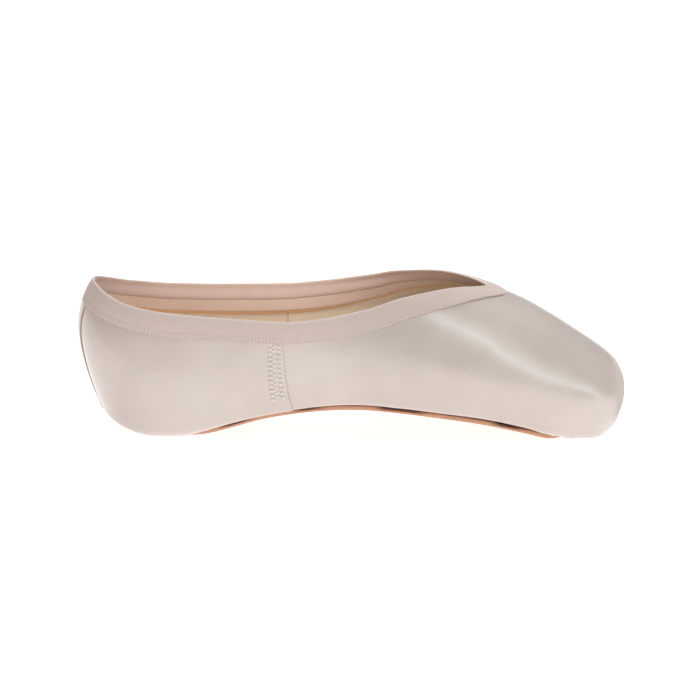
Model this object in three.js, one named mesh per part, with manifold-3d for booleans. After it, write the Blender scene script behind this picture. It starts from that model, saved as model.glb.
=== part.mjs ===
// A pointe shoe on a straight last, in millimetres: hollow satin upper with its stiff toe box, leather outsole,
// insole and the folded tape that binds the collar. +X runs to the toe, +Z is up, and the floor is z = 0.
// The shoe stands on the outsole's heel and on the underside of the toe box.

import * as THREE from 'three';
import Module from 'manifold-3d';

const wasm = await Module();
wasm.setup();

// Driving dimensions.
const shoeLength = 232; // back seam to the tip of the platform
const backSeamProud = 0.8; // seam allowance standing behind the quarters
const backSeamTop = { half: 6, height: 62 }; // half width of that ridge under the binding
const backSeamFoot = { half: 2, height: 10 }; // and at the bottom of the heel
const quarterProud = 0.5; // the quarter laps over the vamp at the side seam
const gap = 0.3; // left between curved pieces that touch
const tapeGap = 0.6; // left round the binding and under the insole, where both surfaces are curved two ways
const quarterWall = 1.4; // satin, canvas and lining
const boxWall = 2.8; // the same with the paste layers of the toe box
const boxStart = 135; // the wall thickens from here
const boxFull = 185; // to here
const soleThickness = 2;
const insoleThickness = 1.5;
const lastingMargin = 1.2; // the upper's least thickness over the outsole
const marginWidth = 6; // how far the upper turns in under the insole's edge
const insoleBeyond = 1.5; // the insole is this much wider than the outsole all round
const tapeThickness = 0.8;
const tapeOutside = 9.4; // width of the binding seen from outside
const tapeInside = 12; // width turned over to the inside
const soleBevel = 0.6; // pared off the outsole's lower edge
const heelRound = 27; // the heel's curve in plan, along the shoe
const heelCorner = { length: 34, height: 14 }; // the corner under the back of the heel
const heelWaist = 46; // height at which the heel stands furthest back
const heelLeans = { below: 7.8, above: 5.8 }; // how far it comes forward at the corner and at the rim
const heelCurves = { below: 1.6, above: 2 }; // the powers of those two curves
const heelReach = 60; // the lean has faded out this far along the shoe
const toeRound = 13; // the edge round the platform
const toeTurn = (75 * Math.PI) / 180; // how far that edge turns before the platform's dome takes over
const toeBlend = 20; // before that edge, an inset begins to act along the shoe
const platformInset = { side: 9.5, top: 7.3, under: 14.2 };
const platformCrown = 2.6; // the platform's dome
const floorCut = 0.35; // the toe box is flattened this much where it stands

// The last, a row for each section: x from the back of the heel, half width at the widest line, height of the
// outsole's tread, height of the upper's underside, of its widest line and of its crown, and how square the
// section is below. The crown is only a guide for the walls where the shoe is open.
const sections = [
  { x: 0, half: 26, tread: 0, under: 0.4, widest: 17, crown: 73, square: 3.2 },
  { x: 20, half: 26.3, tread: 0, under: 0.4, widest: 17, crown: 76, square: 3.2 },
  { x: 42, half: 27.2, tread: 0, under: 0.7, widest: 18, crown: 84, square: 3.2 },
  { x: 52, half: 27.6, tread: 1.3, under: 3, widest: 19.5, crown: 86.5, square: 3.2 },
  { x: 64, half: 28.3, tread: 5, under: 7.1, widest: 22, crown: 90, square: 3.2 },
  { x: 78, half: 29.3, tread: 9.1, under: 11.4, widest: 25, crown: 95, square: 3.2 },
  { x: 92, half: 30.4, tread: 11.8, under: 14.1, widest: 27.6, crown: 96, square: 3.2 },
  { x: 103, half: 31.3, tread: 13.3, under: 15.6, widest: 28.9, crown: 87, square: 3.3 },
  { x: 112, half: 32.2, tread: 14.1, under: 16.4, widest: 29.6, crown: 79.5, square: 3.4 },
  { x: 122, half: 33.4, tread: 14.4, under: 16.7, widest: 30, crown: 74.6, square: 3.6 },
  { x: 138, half: 35.4, tread: 13.5, under: 15.8, widest: 29.5, crown: 70.6, square: 3.9 },
  { x: 155, half: 36.8, tread: 11.8, under: 14.1, widest: 28, crown: 68, square: 4.1 },
  { x: 172.5, half: 36.4, tread: 9, under: 11.3, widest: 25.5, crown: 63.1, square: 4.1 },
  { x: 188, half: 34, tread: 5.2, under: 6.9, widest: 22, crown: 57, square: 4 },
  { x: 203, half: 30.5, tread: 1.2, under: 1, widest: 18.5, crown: 48.3, square: 3.8 },
  { x: 212, half: 28.2, tread: 0.4, under: -floorCut, widest: 17, crown: 42.3, square: 3.7 },
  { x: 222, half: 25.6, tread: 0.3, under: -floorCut, widest: 16.5, crown: 35.9, square: 3.6 },
  { x: 232, half: 23.2, tread: 0.3, under: -floorCut, widest: 16.5, crown: 31.8, square: 3.6 },
];
const squareOver = 2; // above its widest line a section is an ellipse
const squareFloor = 3.8; // the floor inside is flatter than the underside
const squareBlend = 0.8; // share of a section's half height over which it passes from one to the other

// The rim of the opening. Behind, a row gives its height at a place along the shoe: it dips at the waist and
// rises again at the wings of the vamp. In front, a row gives its half width, up to the throat.
const rimHeights = [
  { x: 0, height: 65.2 },
  { x: 9, height: 61.8 },
  { x: 19, height: 58.9 },
  { x: 38, height: 56.3 },
  { x: 64, height: 55 },
  { x: 86, height: 54.4 },
  { x: 103, height: 55.8 },
  { x: 120, height: 58.8 },
  { x: 138, height: 62.3 },
];
const rimHalves = [
  { x: 120, half: 25.6 },
  { x: 138, half: 20.4 },
  { x: 153, half: 15 },
  { x: 167, half: 7.6 },
  { x: 173.6, half: 4.6 },
];
const throatRound = 9; // length over which the rim closes at the throat

// Half width of the outsole, a row for each place along it. Its two ends are round.
const soleOutline = [
  { x: 20, half: 10.4 },
  { x: 32, half: 11 },
  { x: 42, half: 11.8 },
  { x: 52, half: 14.2 },
  { x: 64, half: 16.6 },
  { x: 78, half: 17.2 },
  { x: 95, half: 18.4 },
  { x: 115, half: 20.8 },
  { x: 138, half: 24 },
  { x: 158, half: 25.8 },
  { x: 175, half: 25.6 },
  { x: 190, half: 24 },
  { x: 209, half: 21.5 },
];
const soleEnds = { heel: 14, toe: 14 }; // length of each rounded end

// The front edge of the quarter, from the binding down to the sole.
const sideSeam = [
  { x: 86.3, height: 70 },
  { x: 87.1, height: 48 },
  { x: 88.3, height: 36 },
  { x: 90.8, height: 19 },
  { x: 92, height: -5 },
];

const halfPi = Math.PI / 2;
const clamp = (v) => Math.min(1, Math.max(0, v));
const mix = (a, b, share) => a + (b - a) * share;
const smooth = (from, to, v) => {
  const s = clamp((v - from) / (to - from));
  return s * s * (3 - 2 * s);
};

// The share of its full width that a shape with a round end has at a distance from that end.
const roundEnd = (distance, length) => Math.sqrt(1 - (1 - clamp(distance / length)) ** 2);

// A table's column at x by a cubic through its rows that never overshoots, so two equal rows stay level.
function along(rows, column, x) {
  const last = rows.length - 1;
  if (x <= rows[0].x) return rows[0][column];
  if (x >= rows[last].x) return rows[last][column];
  const i = rows.findIndex((r, k) => x < rows[k + 1].x);
  const rise = (k) => (rows[k + 1][column] - rows[k][column]) / (rows[k + 1].x - rows[k].x);
  const slope = (k) => {
    if (k === 0) return rise(0);
    if (k === last) return rise(last - 1);
    const [before, after] = [rise(k - 1), rise(k)];
    return before * after > 0 ? (2 * before * after) / (before + after) : 0;
  };
  const length = rows[i + 1].x - rows[i].x;
  const s = (x - rows[i].x) / length;
  const across = rows[i + 1][column] - rows[i][column];
  const [m0, m1] = [slope(i) * length, slope(i + 1) * length];
  return rows[i][column] + s * (m0 + s * (3 * across - 2 * m0 - m1 + s * (m0 + m1 - 2 * across)));
}

// The place along the shoe for a girth: the way round the outline in plan from the back seam, in mm. It follows
// the heel's curve first, then runs straight, and turns over the edge of the platform at the toe.
const heelTurn = heelRound * halfPi;
const toeStart = shoeLength - platformCrown - toeRound * Math.sin(toeTurn);
const girthAtToe = heelTurn + toeStart - heelRound;
const girthAtTip = girthAtToe + toeRound * toeTurn;
function placeAt(girth) {
  if (girth < heelTurn) return heelRound * (1 - Math.cos(girth / heelRound));
  if (girth < girthAtToe) return heelRound + girth - heelTurn;
  return toeStart + toeRound * Math.sin((girth - girthAtToe) / toeRound);
}
const girthAt = (x) => (x < heelRound ? heelRound * Math.acos(1 - x / heelRound) : heelTurn + x - heelRound);

// How far the back of the heel stands forward of its waist at a height.
function heelLean(height) {
  const below = Math.max(0, heelWaist - height) / (heelWaist - heelCorner.height);
  const above = Math.max(0, height - heelWaist) / (rimHeights[0].height - heelWaist);
  return heelLeans.below * below ** heelCurves.below + heelLeans.above * above ** heelCurves.above;
}

// The upper's wall at a place along the shoe.
const wallAt = (x) => mix(quarterWall, boxWall, smooth(boxStart, boxFull, x));

// A section of the last at a girth, drawn in by an inset. The floor option gives the inside's own underside.
function section(girth, inset, floor) {
  const x = placeAt(girth);
  const by = typeof inset === 'function' ? inset(x) : inset;
  const turn = girth < heelTurn ? Math.sin(girth / heelRound) : 1;
  const edge = girth > girthAtToe ? 1 - Math.cos((girth - girthAtToe) / toeRound) : 0;
  const corner = 1 - clamp(x / heelCorner.length);
  const heelLift = heelCorner.height * (1 - Math.sqrt(1 - corner ** 2));
  const outer = along(sections, 'under', x) + heelLift + platformInset.under * edge;
  const tread = along(sections, 'tread', x);
  const inner = Math.max(outer + by, tread + soleThickness + gap + lastingMargin + by - wallAt(x));
  return {
    x: x + by * (clamp(1 - x / heelRound) - smooth(toeStart - toeBlend, shoeLength, x)),
    half: (along(sections, 'half', x) - by - platformInset.side * edge) * turn,
    under: floor ? inner : outer + by,
    widest: along(sections, 'widest', x),
    crown: along(sections, 'crown', x) - by - platformInset.top * edge,
    square: floor ? squareFloor : along(sections, 'square', x),
    fade: (1 - clamp(x / heelReach)) ** 2,
  };
}

// The point of a section at an angle: -90 degrees is the middle of the underside, 0 the widest line and
// 90 the crown. It is a superellipse whose height and squareness pass smoothly from its lower to its upper half.
function pointOn(s, angle) {
  const [c, n] = [Math.cos(angle), Math.sin(angle)];
  const over = smooth(-squareBlend, squareBlend, n);
  const power = mix(s.square, squareOver, over);
  const reach = (Math.abs(c) ** power + Math.abs(n) ** power) ** (-1 / power);
  const height = s.widest + reach * n * mix(s.widest - s.under, s.crown - s.widest, over);
  return new THREE.Vector3(s.x + heelLean(height) * s.fade, reach * c * s.half, height);
}
const surface = (girth, angle) => pointOn(section(girth, 0), angle);

// The angle at which a section reaches a height, by halving.
const halvings = 40;
function angleAt(s, height) {
  let [low, high] = [-halfPi, halfPi];
  for (let i = 0; i < halvings; i += 1) {
    const angle = (low + high) / 2;
    if (pointOn(s, angle).z < height) low = angle;
    else high = angle;
  }
  return (low + high) / 2;
}

// The two triangles of a quad between the points a and b of one ring and c and d of the next, split along its
// shorter diagonal so that both halves of the shoe are alike.
function quad(points, a, b, c, d) {
  const straight = points[a].distanceTo(points[c]) < points[b].distanceTo(points[d]);
  return straight ? [a, b, c, a, c, d] : [a, b, d, b, c, d];
}

// A geometry of rings of points that follow each other, as a tube that is still open at both ends. In a loop the
// last ring is joined to the first.
function tube(rings, loop = false) {
  const points = rings.flat();
  const count = rings[0].length;
  const at = (i, j) => (i % rings.length) * count + (j % count);
  const index = [];
  for (let i = 0; i < rings.length - (loop ? 0 : 1); i += 1) {
    for (let j = 0; j < count; j += 1) {
      index.push(...quad(points, at(i, j), at(i, j + 1), at(i + 1, j + 1), at(i + 1, j)));
    }
  }
  return { points, index, at, count };
}

const closed = (points, index) => new THREE.BufferGeometry().setFromPoints(points).setIndex(index);

function loopMesh(rings) {
  const { points, index } = tube(rings, true);
  return closed(points, index);
}

// A tube with its last ring closed on a point. Its first ring is closed on a point too, or, where none is given,
// by rungs from each of its points to the mirrored one.
function closedMesh(rings, end, start) {
  const { points, index, at, count } = tube(rings);
  const [first, last] = [0, rings.length - 1];
  points.push(end, start ?? end);
  for (let j = 0; j < count; j += 1) {
    index.push(rings.length * count, at(last, j), at(last, j + 1));
    if (start) index.push(rings.length * count + 1, at(first, j + 1), at(first, j));
  }
  for (let j = 0; j < count / 2 && !start; j += 1) {
    const [low, high] = [count - j, count - j - 1];
    if (j > 0) index.push(at(first, j), at(first, low), at(first, high));
    if (high > j + 1) index.push(at(first, j), at(first, high), at(first, j + 1));
  }
  return closed(start ? points : points.slice(0, -1), index);
}

function solid(geometry) {
  const made = new wasm.Manifold(
    new wasm.Mesh({
      numProp: 3,
      vertProperties: new Float32Array(geometry.attributes.position.array),
      triVerts: new Uint32Array(geometry.index.array),
    }),
  );
  if (made.volume() < 0) throw new Error('a form is inside out');
  return made;
}

// The last as a closed solid, drawn in by an inset: rings from the heel to the platform. A ring's last point
// is on the middle line, so that the top is closed flat above the opening and round over the vamp.
const ringHalf = 18; // points from the keel to just short of the top
const ringTop = 0.93; // share of a right angle at which the last of them stands
const lidAbove = 7; // height of the flat top over the rim
const crownClear = 1; // a section is closed flat where its crown stands this far over that top
const ringSteps = { heel: 8, middle: 22, toe: 5 };
const firstRing = 0.3; // share of a heel step between the back seam and the first ring
const platformRings = [0.7, 0.35]; // size of the rings on the platform
function lastForm(inset = 0, floor = false) {
  const girths = [];
  const { heel: heelSteps, middle: middleSteps, toe: toeSteps } = ringSteps;
  for (let i = 0; i < heelSteps; i += 1) girths.push((heelTurn * (i + firstRing)) / heelSteps);
  for (let i = 0; i <= middleSteps; i += 1) girths.push(mix(heelTurn, girthAtToe, i / middleSteps));
  for (let i = 1; i <= toeSteps; i += 1) girths.push(mix(girthAtToe, girthAtTip, i / toeSteps));
  const rings = girths.map((girth) => {
    const s = section(girth, inset, floor);
    const lid = along(rimHeights, 'height', s.x) + lidAbove;
    const open = s.crown > lid + crownClear;
    const top = open ? angleAt(s, lid) : halfPi * ringTop;
    const side = [];
    for (let j = 1; j < ringHalf; j += 1) side.push(pointOn(s, mix(-halfPi, top, j / (ringHalf - 1))));
    const middle = pointOn(s, halfPi);
    if (open) middle.z = lid;
    const mirrored = side.map((p) => new THREE.Vector3(p.x, -p.y, p.z)).reverse();
    return [pointOn(s, -halfPi), ...side, middle, ...mirrored];
  });
  const tip = section(girthAtTip, inset, floor);
  const middle = new THREE.Vector3(tip.x, 0, (tip.under + tip.crown) / 2);
  const dome = new THREE.Vector3(platformCrown, 0, 0);
  const edge = rings.at(-1);
  for (const share of platformRings) {
    rings.push(edge.map((p) => p.clone().lerp(middle, 1 - share).addScaledVector(dome, 1 - share ** 2)));
  }
  return solid(closedMesh(rings, middle.add(dome)));
}

// One step over the last's surface from a girth and angle, in a direction that is then laid back on it.
const small = 1e-3; // the difference by which a slope is taken
function stepOver(at, direction, length) {
  const here = surface(at.girth, at.angle);
  const byGirth = surface(at.girth + small, at.angle).sub(here).divideScalar(small);
  const byAngle = surface(at.girth, at.angle + small).sub(here).divideScalar(small);
  const [e, f, g] = [byGirth.dot(byGirth), byGirth.dot(byAngle), byAngle.dot(byAngle)];
  const [p, q] = [direction.dot(byGirth), direction.dot(byAngle)];
  const spread = e * g - f * f;
  const girth = at.girth + (length * (p * g - q * f)) / spread;
  const angle = at.angle + (length * (q * e - p * f)) / spread;
  return { girth, angle };
}

function normalAt(at) {
  const here = surface(at.girth, at.angle);
  const byGirth = surface(at.girth + small, at.angle).sub(here);
  const byAngle = surface(at.girth, at.angle + small).sub(here);
  return byAngle.cross(byGirth).normalize();
}

// The angle at which a section narrows to a half width, over its widest line or below it.
function angleAtHalf(s, half, end) {
  let [wide, narrow] = [0, end];
  for (let i = 0; i < halvings; i += 1) {
    const angle = (wide + narrow) / 2;
    if (pointOn(s, angle).y > half) wide = angle;
    else narrow = angle;
  }
  return (wide + narrow) / 2;
}

// The rim at a girth, as an angle of the section there.
const throat = rimHalves.at(-1).x;
function rimAngle(girth) {
  const x = placeAt(girth);
  const s = section(girth, 0);
  const front = smooth(rimHalves[0].x, rimHeights.at(-1).x, x);
  const byHeight = front < 1 ? angleAt(s, along(rimHeights, 'height', x)) : 0;
  const half = along(rimHalves, 'half', x) * roundEnd(throat - x, throatRound);
  return mix(byHeight, front > 0 ? angleAtHalf(s, half, halfPi) : 0, front);
}

// The rim on the left half of the shoe, from the back seam to the throat, closer spaced at its two ends.
const rimSteps = 46;
const rimEvenness = 13; // the larger, the more even the steps
function rimHalf() {
  const fine = 400; // steps of the first, uneven walk along the rim
  const raw = [];
  for (let i = 0; i <= fine; i += 1) {
    const girth = girthAt(throat) * Math.sin((halfPi * i) / fine);
    const angle = i === fine ? halfPi : rimAngle(girth);
    raw.push({ girth, angle, point: surface(girth, angle) });
  }
  const walked = [0];
  raw.slice(1).forEach((r, i) => walked.push(walked[i] + r.point.distanceTo(raw[i].point)));
  const path = [];
  for (let k = 0; k <= rimSteps; k += 1) {
    const wanted = walked[fine] * (k / rimSteps - Math.sin((2 * Math.PI * k) / rimSteps) / rimEvenness);
    const i = Math.max(0, walked.findLastIndex((w, n) => n < fine && w <= wanted));
    const share = (wanted - walked[i]) / (walked[i + 1] - walked[i]);
    path.push({
      girth: mix(raw[i].girth, raw[i + 1].girth, share),
      angle: mix(raw[i].angle, raw[i + 1].angle, share),
    });
  }
  return path;
}
const rimPath = rimHalf();

// The line that lies a distance down the surface from the rim, or above it where the distance is negative.
const lineSteps = 8;
function rimLine(distance) {
  return rimPath.map((at, k) => {
    const before = surface(rimPath[Math.max(0, k - 1)].girth, rimPath[Math.max(0, k - 1)].angle);
    const after = rimPath[Math.min(rimSteps, k + 1)];
    const tangent = surface(after.girth, after.angle).sub(before);
    if (k === 0 || k === rimSteps) tangent.set(0, k ? -1 : 1, 0);
    let normal = normalAt(at);
    const direction = normal.clone().cross(tangent).normalize();
    let place = at;
    for (let i = 0; i < lineSteps; i += 1) {
      place = stepOver(place, direction, distance / lineSteps);
      normal = normalAt(place);
      direction.addScaledVector(normal, -direction.dot(normal)).normalize();
    }
    return place;
  });
}

// A plug that fills the opening, grown over the surface by a distance. Its side stands square to the surface.
const plugReach = 7; // how far its side stands out of the surface and into the shoe
const plugMiddle = { x: 95, low: 50, high: 220 }; // the points that close it below and above
function plug(distance) {
  const half = rimLine(distance).map((at) => ({ point: surface(at.girth, at.angle), normal: normalAt(at) }));
  half[0].point.y = 0;
  half[rimSteps].point.y = 0;
  half[0].normal.setY(0).normalize();
  half[rimSteps].normal.setY(0).normalize();
  const flip = (v) => new THREE.Vector3(v.x, -v.y, v.z);
  const far = half.slice(1, rimSteps).reverse();
  const loop = [...half, ...far.map((h) => ({ point: flip(h.point), normal: flip(h.normal) }))];
  const ringAt = (by) => loop.map((h) => h.point.clone().addScaledVector(h.normal, by));
  const low = new THREE.Vector3(plugMiddle.x, 0, plugMiddle.low);
  const high = new THREE.Vector3(plugMiddle.x, 0, plugMiddle.high);
  return solid(closedMesh([ringAt(plugReach), ringAt(-plugReach)], low, high));
}

// A solid drawn in side view and carried across the shoe, from points with x and height.
function acrossShoe(points, width) {
  const shape = new THREE.Shape(points.map((p) => new THREE.Vector2(p.x, p.height)));
  const made = new THREE.ExtrudeGeometry(shape, { depth: width, bevelEnabled: false });
  made.translate(0, 0, -width / 2);
  made.rotateX(halfPi);
  return solid(weld(made));
}

// A solid drawn from behind and carried along the shoe, from points with y and height.
function alongShoe(points, from, to) {
  const shape = new THREE.Shape(points.map((p) => new THREE.Vector2(p.y, p.height)));
  const made = new THREE.ExtrudeGeometry(shape, { depth: to - from, bevelEnabled: false });
  made.applyMatrix4(new THREE.Matrix4().set(0, 0, 1, from, 1, 0, 0, 0, 0, 1, 0, 0, 0, 0, 0, 1));
  return solid(weld(made));
}

// Shared vertices merged, so that the geometry is one closed surface.
function weld(geometry) {
  const flat = geometry.index ? geometry.toNonIndexed() : geometry;
  const position = flat.attributes.position;
  const seen = new Map();
  const [points, index] = [[], []];
  for (let i = 0; i < position.count; i += 1) {
    const p = new THREE.Vector3().fromBufferAttribute(position, i);
    const key = p.toArray().map((v) => Math.round(v * 1e4)).join();
    if (!seen.has(key)) seen.set(key, points.push(p) - 1);
    index.push(seen.get(key));
  }
  return new THREE.BufferGeometry().setFromPoints(points).setIndex(index);
}

// Half width of the outsole at a place, drawn in by an inset, with its round ends.
function soleHalf(x, inset = 0) {
  const [first, last] = [soleOutline[0].x + inset, soleOutline.at(-1).x - inset];
  const round = roundEnd(x - first, soleEnds.heel - inset / 2) * roundEnd(last - x, soleEnds.toe - inset / 2);
  return (along(soleOutline, 'half', x) - inset) * round;
}

// A plate with the outsole's outline, drawn in by an inset, between two heights that may change along the shoe.
// Its lower edge is rounded off by a bevel.
const soleSteps = 42;
function solePlate(inset, low, high, bevel = 0) {
  const [first, last] = [soleOutline[0].x + inset, soleOutline.at(-1).x - inset];
  const rings = [];
  for (let i = 1; i < soleSteps; i += 1) {
    const x = mix(first, last, (1 - Math.cos((Math.PI * i) / soleSteps)) / 2);
    const half = soleHalf(x, inset);
    const foot = Math.max(half - bevel, half / 2);
    const [z0, z1] = [low(x), high(x)];
    const corners = [
      [0, z0], [foot, z0], [half, z0 + bevel], [half, z1],
      [0, z1], [-half, z1], [-half, z0 + bevel], [-foot, z0],
    ];
    rings.push(corners.map(([y, z]) => new THREE.Vector3(x, y, z)));
  }
  const start = new THREE.Vector3(first, 0, mix(low(first), high(first), 0.5));
  const end = new THREE.Vector3(last, 0, mix(low(last), high(last), 0.5));
  return solid(closedMesh(rings, end, start));
}

const treadAt = (x) => along(sections, 'tread', x);
const soleTop = (x) => treadAt(x) + soleThickness;

// Sizes of the forms that only cut: well clear of the shoe on every side.
const clear = { back: -30, front: 260, below: -20, width: 120 };
const holeAbove = 12; // the lasting hole is cut this far over the outsole
const ridgeLength = { from: -10, to: 15 }; // the back seam's ridge is cut from the heel between these places

// The upper: the last's outside, with the quarter lapped over the vamp and the ridge of the back seam, hollowed
// by the last's inside, opened at the collar and underneath, and let in round the outsole.
function upper() {
  const [top, foot] = [sideSeam[0], sideSeam.at(-1)];
  const behindSeam = acrossShoe(
    [...sideSeam, { x: clear.back, height: foot.height }, { x: clear.back, height: top.height }],
    clear.width,
  );
  const underBinding = plug(tapeOutside + gap);
  const quarter = lastForm(-quarterProud).intersect(behindSeam).subtract(underBinding);
  const ridge = alongShoe(
    [
      { y: -backSeamFoot.half, height: backSeamFoot.height },
      { y: backSeamFoot.half, height: backSeamFoot.height },
      { y: backSeamTop.half, height: backSeamTop.height },
      { y: -backSeamTop.half, height: backSeamTop.height },
    ],
    ridgeLength.from,
    ridgeLength.to,
  );
  const backSeam = lastForm(-backSeamProud).intersect(ridge).subtract(underBinding);
  const outside = lastForm().add(quarter).add(backSeam);
  const inside = lastForm(wallAt, true);
  const lowest = () => clear.below;
  const letIn = solePlate(-gap, lowest, (x) => soleTop(x) + gap);
  const lastingHole = solePlate(marginWidth, lowest, (x) => soleTop(x) + holeAbove);
  const belowFloor = acrossShoe(
    [
      { x: clear.back, height: clear.below },
      { x: clear.front, height: clear.below },
      { x: clear.front, height: 0 },
      { x: clear.back, height: 0 },
    ],
    clear.width,
  );
  const hollow = outside.subtract(inside).subtract(plug(0));
  return hollow.subtract(letIn).subtract(lastingHole).subtract(belowFloor);
}

// The binding: tape folded over the rim. Its section has an outer leaf, the fold and an inner leaf; a point of it
// is given by its distance down the surface from the rim and its height over the upper's outside.
function binding() {
  const outer = [tapeOutside, tapeOutside / 2, -tapeGap / 2];
  const inner = [-tapeGap / 2, tapeInside / 2, tapeInside];
  const profile = [
    ...outer.map((down) => [down, tapeGap + tapeThickness, 0]),
    [-tapeGap - tapeThickness, tapeGap, 0],
    [-tapeGap - tapeThickness, -tapeGap, 1],
    ...inner.map((down) => [down, -tapeGap - tapeThickness, 1]),
    ...inner.map((down) => [down, -tapeGap, 1]).reverse(),
    ...outer.map((down) => [down, tapeGap, 0]).reverse(),
  ];
  const lines = profile.map(([down, over, within]) =>
    rimLine(down).map((at, k) => {
      const upperWall = wallAt(surface(at.girth, at.angle).x);
      const normal = normalAt(at);
      const point = surface(at.girth, at.angle).addScaledVector(normal, over - within * upperWall);
      if (k === 0 || k === rimSteps) point.y = 0;
      return point;
    }),
  );
  const flip = (v) => new THREE.Vector3(v.x, -v.y, v.z);
  const rings = [];
  for (let k = 0; k <= rimSteps; k += 1) rings.push(lines.map((line) => line[k]));
  for (let k = rimSteps - 1; k > 0; k -= 1) rings.push(lines.map((line) => flip(line[k])));
  return solid(loopMesh(rings));
}

// The outsole: a strip of leather that follows the tread, flat across the shoe, with its lower edge pared.
const outsole = () => solePlate(0, treadAt, soleTop, soleBevel);

// The insole: a board that lies on the floor of the upper and follows it up at the edges.
const boardColumns = 4; // on each side of its middle line
const boardSteps = 24;
function insole() {
  const [first, last] = [soleOutline[0].x - insoleBeyond, soleOutline.at(-1).x + insoleBeyond];
  const pointAt = (x, y, by) => {
    const s = section(girthAt(x), (place) => wallAt(place) + by, true);
    const point = pointOn(s, angleAtHalf(s, Math.abs(y), -halfPi));
    return point.setY(y);
  };
  const rings = [];
  for (let i = 1; i < boardSteps; i += 1) {
    const x = mix(first, last, (1 - Math.cos((Math.PI * i) / boardSteps)) / 2);
    const half = soleHalf(x, -insoleBeyond);
    const across = [];
    for (let j = -boardColumns; j <= boardColumns; j += 1) across.push((half * j) / boardColumns);
    const line = (by) => across.map((y) => pointAt(x, y, by));
    rings.push([...line(tapeGap), ...line(tapeGap + insoleThickness).reverse()]);
  }
  const end = (x) => pointAt(x, 0, tapeGap + insoleThickness / 2);
  return solid(closedMesh(rings, end(last), end(first)));
}

const finishes = {
  upper: new THREE.MeshStandardMaterial({ color: 0xe3d2cb, roughness: 0.35, metalness: 0 }),
  collar_binding: new THREE.MeshStandardMaterial({ color: 0xd9bfb8, roughness: 0.8, metalness: 0 }),
  outsole: new THREE.MeshStandardMaterial({ color: 0xb5835c, roughness: 0.6, metalness: 0 }),
  insole: new THREE.MeshStandardMaterial({ color: 0xe6cda9, roughness: 0.85, metalness: 0 }),
};

function node(name, made) {
  const found = made.getMesh();
  const geometry = new THREE.BufferGeometry();
  geometry.setAttribute('position', new THREE.BufferAttribute(new Float32Array(found.vertProperties), 3));
  geometry.setIndex(new THREE.BufferAttribute(new Uint32Array(found.triVerts), 1));
  geometry.computeVertexNormals();
  const mesh = new THREE.Mesh(geometry, finishes[name]);
  mesh.name = name;
  return mesh;
}

const shoe = new THREE.Group();
shoe.name = 'pointe_shoe';
shoe.add(node('upper', upper()));
shoe.add(node('collar_binding', binding()));
shoe.add(node('outsole', outsole()));
shoe.add(node('insole', insole()));
const box = new THREE.Box3().setFromObject(shoe);
shoe.position.x = -(box.min.x + box.max.x) / 2; // the origin is on the floor, under the middle of the length

export default shoe;
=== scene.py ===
import math

import bpy
import numpy as np
from mathutils import Matrix, Vector


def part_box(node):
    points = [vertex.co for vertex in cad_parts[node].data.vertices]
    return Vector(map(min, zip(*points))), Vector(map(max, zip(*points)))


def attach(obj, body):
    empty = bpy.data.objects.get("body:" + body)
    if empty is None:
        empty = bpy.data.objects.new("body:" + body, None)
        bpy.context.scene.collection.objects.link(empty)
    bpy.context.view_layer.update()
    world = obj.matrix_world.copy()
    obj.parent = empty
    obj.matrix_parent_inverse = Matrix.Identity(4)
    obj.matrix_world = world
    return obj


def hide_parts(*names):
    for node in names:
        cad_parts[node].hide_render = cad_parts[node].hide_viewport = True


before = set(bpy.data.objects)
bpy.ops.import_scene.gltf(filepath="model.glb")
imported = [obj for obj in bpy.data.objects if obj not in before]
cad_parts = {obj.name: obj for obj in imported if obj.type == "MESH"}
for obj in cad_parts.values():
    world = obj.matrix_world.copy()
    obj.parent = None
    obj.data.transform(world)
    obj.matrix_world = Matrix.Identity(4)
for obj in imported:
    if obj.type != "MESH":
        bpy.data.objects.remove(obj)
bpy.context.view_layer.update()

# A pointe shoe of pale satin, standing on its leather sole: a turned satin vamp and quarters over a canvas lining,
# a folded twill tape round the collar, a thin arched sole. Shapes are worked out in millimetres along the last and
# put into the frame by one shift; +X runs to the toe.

MM = 0.001
HALF_PI = math.pi / 2

# Camera

LOOK_AT = (-0.00106, 0.0, 0.0345)
CAMERA_RISE = math.radians(18)
CAMERA_AWAY = 2.6
FRAME_WIDE = 0.2986  # what the frame takes in at the shoe
SENSOR_WIDE = 36.0


def set_camera():
    """A long lens, level with the shoe's side and a little above it."""
    lens = bpy.data.cameras.new("camera")
    lens.sensor_width = SENSOR_WIDE
    lens.lens = SENSOR_WIDE * CAMERA_AWAY / FRAME_WIDE
    lens.clip_start, lens.clip_end = 0.1, 50.0
    camera = bpy.data.objects.new("camera", lens)
    camera.location = (
        LOOK_AT[0],
        LOOK_AT[1] - CAMERA_AWAY * math.cos(CAMERA_RISE),
        LOOK_AT[2] + CAMERA_AWAY * math.sin(CAMERA_RISE),
    )
    camera.rotation_euler = (HALF_PI - CAMERA_RISE, 0.0, 0.0)
    bpy.context.scene.collection.objects.link(camera)
    bpy.context.scene.camera = camera


set_camera()

# The last

SHOE_LENGTH = 232.0
QUARTER_PROUD = 0.5
WALL_QUARTER, WALL_BOX = 1.4, 2.8
VAMP_CLOTH, QUARTER_CLOTH, STRIP_CLOTH, LINING_CLOTH = 0.6, 0.44, 0.5, 0.4  # each cloth's thickness
CLOTH_ENDS, LINING_ENDS = 2.5, 5.0  # cloth and lining end this far below the rim, inside the tape
BOX_STARTS, BOX_FULL = 135.0, 185.0
SOLE_THICK = 2.0
TAPE_OUTSIDE, TAPE_INSIDE = 9.4, 11.0
TAPE_LIES = 0.75  # the tape's face over what it lies on
FOLD_HIGH, FOLD_LONG = 1.4, 3.0  # the fold over the rim, and the cloth that goes round it
TWILL_PITCH, WEAVE_PITCH = 1.6, 0.6
STITCH_ROWS = (9.0, 7.0)  # the two rows along the tape's outer edge
STITCH_PITCH = 1.5
REAR_ROW = 92.0  # the second row ends here, at the side seam
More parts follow.
